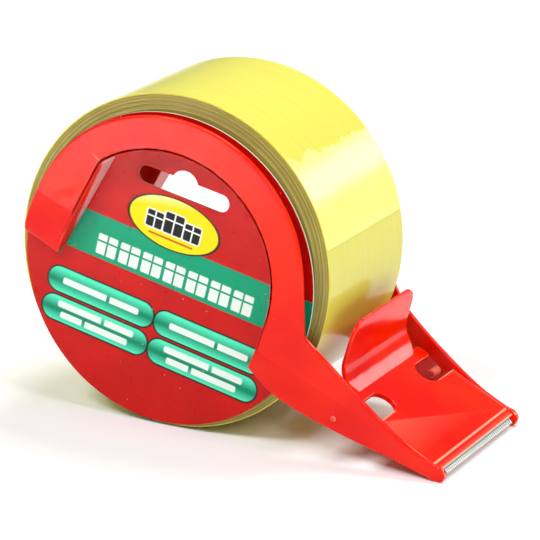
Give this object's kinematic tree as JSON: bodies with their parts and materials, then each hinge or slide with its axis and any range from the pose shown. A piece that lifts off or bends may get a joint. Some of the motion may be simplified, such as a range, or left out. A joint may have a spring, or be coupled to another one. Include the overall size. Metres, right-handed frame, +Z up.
{
  "type": "hand tape dispenser",
  "caption": "Clip-on hand dispenser for packaging tape: a glossy moulded frame with C-shaped arms that hold a spinning roll, a flexible tab and a serrated steel blade on a sloping nose.",
  "frame": {"origin": "middle of the base of the box around the part, on the surface it stands on", "axes": "+X towards the blade, +Y to the left-hand side along the roll's axis, +Z up; the part stands on the roll and on its two nose tips"},
  "size_m": [0.1318, 0.06, 0.0949],
  "materials": {
    "moulding": "glossy injection-moulded polystyrene, red",
    "blade": "stamped steel strip",
    "card": "gloss-varnished printed card",
    "core": "wound kraft paper tube",
    "tape": "wound adhesive film, yellow-tan and slightly clear"
  },
  "bodies": {
    "frame": {"right_arm": "moulding", "right_hub_rib": "moulding", "right_side_wall": "moulding", "left_arm": "moulding", "left_hub_rib": "moulding", "left_side_wall": "moulding", "blade_platform": "moulding", "tape_tab": "moulding", "serrated_blade": "blade", "header_card": "card"},
    "roll": {"paper_core": "core", "tape_roll": "tape"}
  },
  "joints": [
    {"name": "roll_spin", "type": "hinge", "parent": "frame", "child": "roll", "pos_m": [-0.01844, 0, 0.04745], "axis": [0, 1, 0], "continuous": true}
  ]
}
